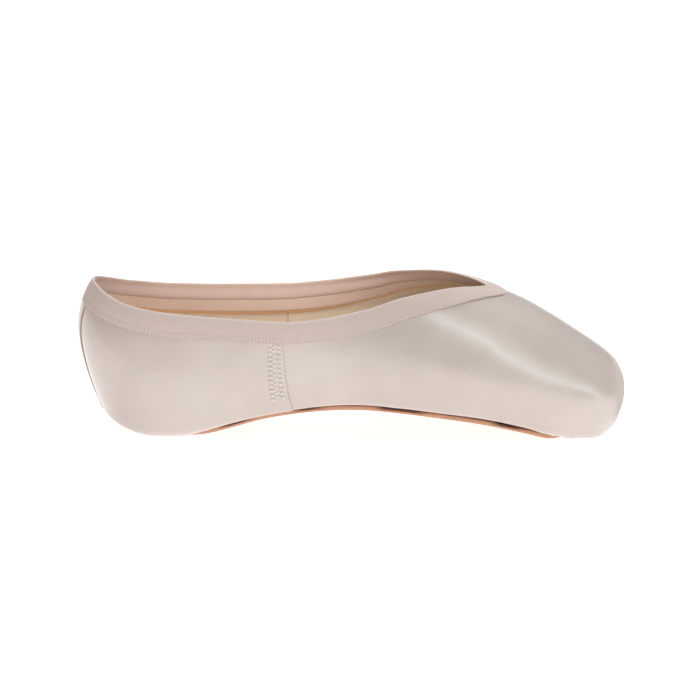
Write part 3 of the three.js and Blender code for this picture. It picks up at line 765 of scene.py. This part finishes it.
def skin(girth, low, high, proud):
    """A half of the satin between the feather line and the rim, by girth and by share of the angle between them,
    with the margin that is turned in under the insole. Low and high may change along the shoe."""
    share = np.linspace(0, 1, ROWS + 1)[:, None]
    angle = low + (high - low) * share
    girth = np.broadcast_to(girth, angle.shape)
    point = surface(girth, angle, -proud)
    walked = walk(point)
    drawn = pleat(point) + pucker(girth, walked) * (place_at(girth) > SOLE_BACK) * (place_at(girth) < 200)
    point = point - outward(girth, angle, -proud) * (drawn - creased(point) * smooth(0, 6, walked))[..., None]
    point[..., 1] = np.where(angle <= -HALF_PI + 1e-9, 0, point[..., 1])
    point[..., 2] = np.maximum(point[..., 2], 0.0)
    x = place_at(girth[0])
    wavy = 0.5 * gaping(x) + 0.14 * np.sin(x * 0.31) * smooth(SOLE_BACK, 45, x) * (1 - smooth(175, 200, x))
    point[..., 2] += wavy * (1 - smooth(0, 7, walked))
    top = along(LAST, TREAD, x) + SOLE_THICK + 0.25
    under_sole = (x > SOLE_BACK) & (x < SOLE_FRONT)
    edge = point[0]
    turned = []
    for inwards in (MARGIN, MARGIN / 2, 0.15):
        y = np.where(under_sole, np.maximum(edge[:, 1] - inwards, 0), edge[:, 1])
        held = edge[:, 2] if inwards < 1 else np.minimum(edge[:, 2], top + 0.9)
        z = np.where(under_sole, np.maximum(top, held), edge[:, 2])
        turned.append(np.stack([edge[:, 0], y, z], axis=-1))
    point = np.concatenate([np.stack(turned), point])
    walked = np.concatenate([np.array([[-MARGIN], [-MARGIN / 2], [-0.2]]) + 0 * walked[:3], walked])
    marks = np.stack(np.broadcast_arrays(girth[0][None, :], walked), axis=-1)
    return point, marks


def columns(start, end):
    """Girths between two of them: every two millimetres, and closer in the toe, round the ends of the sole and at
    the throat."""
    turn = np.linspace(0, HALF_PI, 10)
    bend = 1 - np.cos(turn)
    x = np.concatenate([
        SOLE_BACK + SOLE_ROUND * bend, SOLE_FRONT - SOLE_ROUND * bend, THROAT - THROAT_ROUND * bend,
        np.arange(HEEL_ROUND, 200, 2.0), np.arange(200, TOE_START, 1.0),
    ])
    girth = np.concatenate([np.linspace(0, HEEL_TURN, 24), girth_at(x), np.linspace(GIRTH_TOE, GIRTH_TIP, 16)])
    girth = np.unique(np.round(girth, 3))
    girth = girth[(girth > start + 0.4) & (girth < end - 0.4)]
    return np.concatenate([[start], girth, [end]])


def vamp():
    """The satin of the forefoot and the toe, from under the quarters to the platform, whose edge is shrunk to its
    middle over the dome."""
    girth = columns(float(girth_at(83.0)), GIRTH_TIP)
    point, marks = skin(girth, feather_angle(girth), under_tape(girth), 0.0)
    tip = section(np.array(GIRTH_TIP))
    middle = np.array([tip["x"], 0, (tip["under"] + tip["crown"]) / 2])
    edge = point[:, -1]
    inwards = normalize(middle - edge)
    turning = point[:, -1] - point[:, -2]
    lean = turning[:, 0] / np.maximum(np.sum(turning * inwards, axis=1), 1e-6)
    steep = np.clip(lean * np.linalg.norm(edge - middle, axis=1), 0, 2.2 * PLATFORM_CROWN)
    share = np.linspace(1, 0, 15)[1:] ** 0.8
    rise = lambda s: PLATFORM_CROWN * (1 - s) ** 2 * (1 + 2 * s) + steep * s * s * (1 - s)
    forward = lambda s: rise(s)[:, None] * (1, 0, 0)
    dome = [middle + (edge - middle) * s + forward(s) for s in share]
    reach = np.linalg.norm(edge - middle, axis=1)
    dome_marks = [np.stack([marks[:, -1, 0] + reach * (1 - s), marks[:, -1, 1]], axis=-1) for s in share]
    point = np.concatenate([point, np.stack(dome, axis=1)], axis=1)
    marks = np.concatenate([marks, np.stack(dome_marks, axis=1)], axis=1)
    return piece("vamp", both_sides(point, marks), [SATIN, CUT_EDGE_SHADE], "upper", VAMP_CLOTH)


def quarters():
    """The satin of the heel, one piece from side seam to side seam, lapped over the vamp."""
    base = columns(0.0, float(girth_at(86.0)))
    share = base / base[-1]
    low = feather_angle(base)
    high = under_tape(base)
    rows = np.linspace(0, 1, ROWS + 1)[:, None]
    end = seam_girths(low[-1] + (high[-1] - low[-1]) * rows)
    girth = share[None, :] * end
    low, high = [np.broadcast_to(edge, girth.shape) for edge in (feather_angle(girth[0]), under_tape(girth[-1]))]
    point, marks = skin(girth, low, high, QUARTER_PROUD)
    return piece("quarters", both_sides(point, marks), [SATIN, CUT_EDGE_SHADE], "upper", QUARTER_CLOTH, rim=1)


STRIP_HEIGHTS = 5, 63


def back_strip():
    """The strip over the back seam, by height and by place across: on each level slice of the heel, the girth whose
    half width is that place. It is wide under the tape, narrow at the bottom of the heel, and a little crowned."""
    across = np.linspace(-1, 1, 13)
    height = np.linspace(*STRIP_HEIGHTS, 60)[:, None]
    wide = 1.6 + 4.4 * smooth(3, 60, height)
    y = across * wide

    def on_slice(girth):
        s = section(girth)
        return point_on(s, angle_at_height(s, height))

    low = 0 * y
    girth = solve(low, low + HEEL_TURN, lambda g: on_slice(g)[..., 1] < np.maximum(np.abs(y), 1e-3))
    point = on_slice(girth)
    point[..., 1] = y
    normal = normalize(np.cross(np.gradient(point, axis=0), np.gradient(point, axis=1)))
    point = point + normal * (smooth(1, 17, height) + 0.25 * (1 - across ** 2))[..., None]
    marks = np.stack(np.broadcast_arrays(height, y), axis=-1)
    grid = {"points": point, "marks": marks, "faces": quads(*point.shape[:2])[:, ::-1]}
    return piece("back_strip", [grid], [SATIN, CUT_EDGE_SHADE], "upper", STRIP_CLOTH, rim=1)


def lining():
    """The canvas inside: the last drawn in by the wall's thickness, from the middle of the floor to the rim."""
    girth = columns(0.0, GIRTH_TIP)
    share = np.linspace(0, 1, 41)[:, None]
    low, high = -HALF_PI + 0 * girth, under_tape(girth, LINING_ENDS)
    angle = low + (high - low) * share
    girths = np.broadcast_to(girth, angle.shape)
    point = surface(girths, angle, wall_at(place_at(girths)), True)
    point[..., 1] = np.where(angle <= -HALF_PI + 1e-9, 0, point[..., 1])
    tip = point[:, -1]
    middle = (tip[0] + tip[-1]) / 2
    point = np.concatenate([point, np.stack([middle + (tip - middle) * s for s in (0.6, 0.3, 0)], axis=1)], axis=1)
    walked = walk(point)
    columns_walked = np.concatenate([girth, girth[-1] + np.array([6, 12, 18])])
    marks = np.stack(np.broadcast_arrays(columns_walked[None, :], walked), axis=-1)
    return piece("lining", both_sides(point, marks, turned=True), [LINING], "upper", LINING_CLOTH)


# The tape round the collar


def tape_base(x):
    """How far the cloth under the tape, quarter or vamp, stands over the last."""
    return 0.55 - 0.45 * smooth(86, 91, x)


# Share of its full width that the outer leaf keeps: by distance from the back seam, and by distance to the throat,
# where the two sides meet in a point.
SHARE_REAR = np.array([(0, 0.95), (22, 0.88), (38, 0.95), (60, 0.88), (80, 0.84)])
SHARE_FRONT = np.array([(0, 0.84), (3, 0.73), (7, 0.71), (12, 0.76), (22, 0.88), (31, 0.91), (49, 0.9), (70, 0.85)])


def leaf_share():
    """The share at each step along the rim."""
    to_throat = RIM_WALKED[-1] - RIM_WALKED
    rear, front = along(SHARE_REAR, 1, RIM_WALKED), along(SHARE_FRONT, 1, to_throat)
    return np.where(to_throat < SHARE_FRONT[-1, 0], front, rear)


def leaf(down, over, within):
    """Points and normals of a line of the tape, a distance down from the rim. The outer leaf, within 0, lies on the
    satin; the inner one, within 1, parts from it over the first millimetres and lies on the lining."""
    girth, angle = rim_line(down * (leaf_share() if within == 0 and down > 0 else 1.0))
    here, normal = surface(girth, angle), outward(girth, angle)
    place = here[..., 0]
    parted = within * smooth(0.0, 5.0, down)
    raised = over + (1 - parted) * tape_base(place) - parted * wall_at(place)
    point = here + normal * raised[..., None]
    point[0, 1] = point[-1, 1] = 0
    normal[0, 1] = normal[-1, 1] = 0
    return point, normalize(normal)


def binding():
    """The folded tape, a profile carried along the rim: its outer leaf from the stitched edge up to a round fold,
    its inner leaf down inside, and back along its own under side. It swells a little over the string it hides."""
    fold = np.linspace(0, math.pi, 13)[1:-1]
    swell = lambda d: 0.14 * math.sin(math.pi * min(1.0, d / 7.0)) ** 2
    parting = lambda d: 0.2 * float(smooth(0.0, 5.0, d))
    profile = [(TAPE_OUTSIDE, 0.3, 0, TAPE_OUTSIDE), (TAPE_OUTSIDE - 0.03, 0.52, 0, TAPE_OUTSIDE)]
    profile += [(d, TAPE_LIES + swell(d), 0, d) for d in np.linspace(TAPE_OUTSIDE - 0.3, 0, 17)]
    profile += [
        (-FOLD_HIGH * math.sin(t), 0.1 + (TAPE_LIES - 0.1) * math.cos(t), 0, -FOLD_LONG * t / math.pi) for t in fold
    ]
    profile += [
        (d, 0.2 - TAPE_LIES - parting(d) - swell(d), 1, -FOLD_LONG - d)
        for d in np.linspace(0, TAPE_INSIDE - 0.3, 17)
    ]
    profile += [(TAPE_INSIDE, -0.55, 1, -FOLD_LONG - TAPE_INSIDE)]
    profile += [(d, -0.12, 1, -FOLD_LONG - d) for d in (TAPE_INSIDE, TAPE_INSIDE / 2, 1.2)]
    profile += [(d, 0.12, 0, d) for d in (1.2, TAPE_OUTSIDE / 2, TAPE_OUTSIDE)]
    lines = [leaf(down, over, within)[0] for down, over, within, _ in profile]
    marks = [np.stack([RIM_WALKED, np.full(len(RIM_WALKED), mark)], axis=-1) for *_, mark in profile]
    return piece("collar_tape", both_bands(lines, np.stack(marks, axis=1)), [TAPE], "collar_binding")


def tape_shadow_strip():
    """A painted shadow line below the tape's inner leaf, where it shades the lining: a flat narrow tan strip along
    it.
    """
    profile = [(SHADOW_TOP, -0.05), (SHADOW_TOP, -0.42), (11.9, -0.42), (SHADOW_FOOT, -0.3), (SHADOW_FOOT, -0.05)]
    lines = [leaf(down, over, 1)[0] for down, over in profile]
    marks = np.stack(np.broadcast_arrays(RIM_WALKED[:, None], np.array([p[0] for p in profile])), axis=-1)
    return piece("tape_shadow_strip", both_bands(lines, marks), [TAPE_SHADOW_LINE], "collar_binding")


# Stitches


STITCH_RINGS, STITCH_SIDES = (-1.0, -0.8, 0.0, 0.8, 1.0), 6


def stitches(place, run, up, length, wide, lift):
    """Small rounded stitches, all at once: rings of points along each one's run, widest in the middle and closed at
    both ends, the middle lifted off the cloth. Place, run and up are arrays of one row a stitch."""
    t = np.array(STITCH_RINGS)[None, :, None, None]
    turn = (np.arange(STITCH_SIDES) * math.pi / 3)[None, None, :, None]
    round_off = np.sqrt(np.maximum(0, 1 - t ** 4))
    side = normalize(np.cross(run, up))[:, None, None, :]
    run, up, place = (rows[:, None, None, :] for rows in (normalize(run), normalize(up), place))
    point = place + run * t * length / 2 + side * np.cos(turn) * round_off * wide / 2
    point = point + up * (np.sin(turn) * round_off * wide * 0.38 + lift * (1 - t ** 2))
    one = quads(len(STITCH_RINGS), STITCH_SIDES, around=True)
    first = np.arange(len(point)) * len(STITCH_RINGS) * STITCH_SIDES
    faces = (one[None] + first[:, None, None]).reshape(-1, 4)
    return {"points": point, "marks": point[..., :2], "faces": faces}


def spaced(point, normal, start, end, pitch, walked=None):
    """Places, directions and normals every pitch along a line of points, between two distances along it."""
    if walked is None:
        walked = walk(point)
    wanted = np.arange(start, min(end, walked[-1]), pitch)
    pick = lambda rows, at: np.stack([np.interp(at, walked, rows[:, i]) for i in range(3)], axis=-1)
    return pick(point, wanted), pick(point, wanted + 0.2) - pick(point, wanted - 0.2), pick(normal, wanted)


def mirrored(place, run, up):
    """The same stitches on both sides of the shoe."""
    flip = np.array([1, -1, 1])
    return [np.concatenate([rows, rows * flip]) for rows in (place, run, up)]


def collar_stitches():
    """Lock stitches: two rows along the outer leaf's edge behind the side seam and one before it, and two along the
    inner leaf. Each row has its distance from the rim, its height, its leaf and where it ends."""
    rows = []
    for down, over, within, end in (
        (STITCH_ROWS[0], TAPE_LIES - 0.05, 0, math.inf),
        (STITCH_ROWS[1], TAPE_LIES - 0.05, 0, REAR_ROW),
        (FURROW, -TAPE_LIES + 0.02, 1, math.inf),
        (10.4, -TAPE_LIES + 0.05, 1, math.inf),
    ):
        point, normal = leaf(down, over, within)
        facing = -normal if within else normal
        line = spaced(point, facing, STITCH_PITCH / 2, end, STITCH_PITCH, RIM_WALKED)
        rows.append(stitches(*mirrored(*line), 1.05, 0.32, 0.04))
    return piece("collar_stitches", rows, [TAPE_THREAD], "collar_binding")


ZIGZAG_TOP, ZIGZAG_LONG, ZIGZAG_PITCH = 46.8, 25, 2.03


def side_stitches():
    """The zigzag that joins quarter and vamp, down the side behind the seam's edge: two columns of short slanting
    stitches, and a flatter thread between them that rises the other way. Each has its distance behind the edge and
    how that grows on the way down, the stitches' length, width and slope, and where the first one lies."""
    angle = np.linspace(0.75, -0.62, 400)
    girth = seam_girths(angle)
    rows = []
    for back, spread, long, wide, tilt, start in (
        (5.2, 0.06, 2.0, 1.15, 0.45, 0.3), (1.6, 0.035, 1.7, 1.15, 0.45, 1.3), (3.4, 0.048, 3.0, 0.8, -0.35, 1.2),
    ):
        low = np.maximum(0, ZIGZAG_TOP - 0.3 - surface(girth, angle)[..., 2])
        at = girth - back - spread * low
        point = surface(at, angle, -QUARTER_PROUD)
        normal = outward(at, angle, -QUARTER_PROUD)
        shown = point[:, 2] < ZIGZAG_TOP
        place, down, up = spaced(point[shown], normal[shown], start, ZIGZAG_LONG, ZIGZAG_PITCH)
        across = np.cross(up, down)
        slant = normalize(across) * np.sign(across[:, :1]) + tilt * normalize(down)
        rows.append(stitches(*mirrored(place, slant, up), long, wide, 0.25 if tilt > 0 else 0.08))
    return piece("side_stitches", rows, [THREAD], "upper")


# Sole and insole


def capped(rings, push=0.0):
    """Cross sections closed at both ends by a point in the middle, pushed out along the shoe."""
    ends = [np.broadcast_to(ring.mean(axis=0) + (by, 0, 0), ring.shape)[None] for ring, by in
            ((rings[0], -push), (rings[-1], push))]
    return np.concatenate([ends[0], rings, ends[1]])


def outsole():
    """The leather strip along the tread, with pared edges, round ends and a sewn channel."""
    x = np.concatenate([SOLE_BACK + SOLE_ROUND * (1 - np.cos(np.linspace(0.06, HALF_PI, 14))),
                        np.linspace(SOLE_BACK + SOLE_ROUND, SOLE_FRONT - SOLE_ROUND, 70)[1:-1],
                        SOLE_FRONT - SOLE_ROUND * (1 - np.cos(np.linspace(HALF_PI, 0.06, 14)))])
    half = sole_half(x)[:, None]
    from_edge = np.array([0, 0.2, 0.4, 0.6, 1.6, 2.9, 3.2, 3.5, 3.8, 4.1]) * np.minimum(1, half / 6)
    inner = (half - from_edge[:, -1:]) * np.linspace(-1, 1, 17)[1:-1]
    y = np.concatenate([from_edge - half, inner, (half - from_edge)[:, ::-1]], axis=1)
    from_edge = half - np.abs(y)
    pared = PARED * (1 - np.clip(from_edge / PARED, 0, 1)) ** 2
    channel = CHANNEL_DEEP * (1 - np.clip(np.abs(from_edge - CHANNEL_IN) / CHANNEL_HALF, 0, 1)) * smooth(6, 9, half)
    rise = pared + channel
    tread = along(LAST, TREAD, x)[:, None]
    bottom = np.stack(np.broadcast_arrays(x[:, None], y, tread + rise), axis=-1)
    top = np.stack(np.broadcast_arrays(x[:, None], y[:, ::-1], tread + SOLE_THICK), axis=-1)
    ring = np.concatenate([bottom, top], axis=1)
    height = np.concatenate([rise, SOLE_THICK + 0 * rise], axis=1)
    ring = capped(ring, 0.2)
    height = np.concatenate([height[:1], height, height[-1:]])
    marks = np.stack([ring[..., 0], height], axis=-1)
    grid = {"points": ring, "marks": marks, "faces": quads(*ring.shape[:2], around=True)[:, ::-1]}
    return piece("leather_sole", [grid], [LEATHER], "outsole")


def insole():
    """The board inside: it lies over the lasting margin and follows the floor up at its edges."""
    first, last = SOLE_BACK - INSOLE_WIDER, SOLE_FRONT + INSOLE_WIDER
    t = np.linspace(0.03, math.pi - 0.03, 90)
    x = first + (last - first) * (1 - np.cos(t)) / 2
    y = sole_half(x, -INSOLE_WIDER)[:, None] * np.linspace(-1, 1, 25)

    def layer(by):
        s = section(girth_at(x), wall_at(x) + by, True)
        s = {name: value[:, None] for name, value in s.items()}
        made = point_on(s, angle_at_half(s, np.abs(y), -HALF_PI))
        made[..., 1] = y
        return made

    ring = capped(np.concatenate([layer(INSOLE_RISE), layer(INSOLE_RISE + INSOLE_THICK)[:, ::-1]], axis=1))
    grid = {"points": ring, "marks": ring[..., :2], "faces": quads(*ring.shape[:2], around=True)[:, ::-1]}
    return piece("insole_board", [grid], [BOARD], "insole")


vamp()
quarters()
back_strip()
lining()
binding()
tape_shadow_strip()
collar_stitches()
side_stitches()
outsole()
insole()

# Studio


COOL, WHITE = (0.85, 1.0, 1.0), (1.0, 1.0, 1.0)
MIDDLE, INNER_WALL = (0, 0, 0), (-0.005, 0.065, 0.066)

# Area lights: name, the two ends of its middle line, breadth, watts, colour, what it faces, whether the satin
# mirrors it, and the angle that it spreads over.
LIGHTS = (
    ("long light", (0.065, -0.325, 1.26), (0.65, -0.676, 0.91), 0.2, 2.0, COOL, MIDDLE, True, 180),
    ("long light, lower", (0.65, -0.676, 0.91), (0.871, -0.793, 0.546), 0.22, 1.25, COOL, MIDDLE, True, 180),
    ("long light, foot", (0.871, -0.793, 0.546), (1.066, -0.741, 0.03), 0.22, 1.4, COOL, MIDDLE, True, 180),
    ("front fill", (-1.15, -1.87, 0.3), (0.6, -1.87, 0.3), 0.4, 10.2, WHITE, MIDDLE, False, 180),
    ("top light", (-0.35, 0.97, 1.45), (1.25, 0.97, 1.45), 1.2, 29.0, WHITE, MIDDLE, False, 180),
    ("collar light", (-0.115, -0.012, 0.13), (0.105, -0.012, 0.13), 0.02, 0.056, WHITE, INNER_WALL, False, 80),
)


def studio():
    """A wide pale floor and an even pale surround, a long light in three lengths that comes down in front of the
    toe, a low fill behind the camera's side, a broad light above and behind, and a small one over the collar."""
    size = 4.0
    mesh = bpy.data.meshes.new("studio_floor")
    mesh.from_pydata([(-size, -size, 0), (size, -size, 0), (size, size, 0), (-size, size, 0)], [], [(0, 1, 2, 3)])
    floor = bpy.data.objects.new("studio_floor", mesh)
    floor.location = (0, 0, -0.0002)
    bpy.context.scene.collection.objects.link(floor)
    paper = Finish(
        "studio paper", Roughness=0.9, Specular_IOR_Level=0.1, Emission_Color=(1, 1, 1, 1), Emission_Strength=0.8
    )
    x, y, _ = paper.axes()
    tone = paper.noise(paper.spot(x * 0.002, y * 0.002))
    mesh.materials.append(paper.paint(paper.blend(tone, (0.55, 0.55, 0.55), (0.58, 0.58, 0.58))))
    world = bpy.data.worlds.new("surround")
    bpy.context.scene.world = world
    world.use_nodes = True
    surround = world.node_tree.nodes["Background"].inputs
    surround["Color"].default_value, surround["Strength"].default_value = (1, 1, 1, 1), 0.35
    for name, start, end, broad, power, colour, aim, mirrored_too, spread in LIGHTS:
        start, end, aim = Vector(start), Vector(end), Vector(aim)
        lamp = bpy.data.lights.new(name, "AREA")
        lamp.shape, lamp.size, lamp.size_y, lamp.energy = "RECTANGLE", (end - start).length, broad, power
        lamp.color, lamp.spread = colour, math.radians(spread)
        made = bpy.data.objects.new(name, lamp)
        middle, run = (start + end) / 2, (end - start).normalized()
        back = (middle - aim).normalized()
        run = (run - back * run.dot(back)).normalized()
        made.matrix_world = Matrix.Translation(middle) @ Matrix((run, back.cross(run), back)).transposed().to_4x4()
        made.visible_glossy = mirrored_too
        made.visible_camera = False
        bpy.context.scene.collection.objects.link(made)


studio()
bpy.context.scene.view_settings.view_transform = "Standard"

bpy.context.view_layer.update()
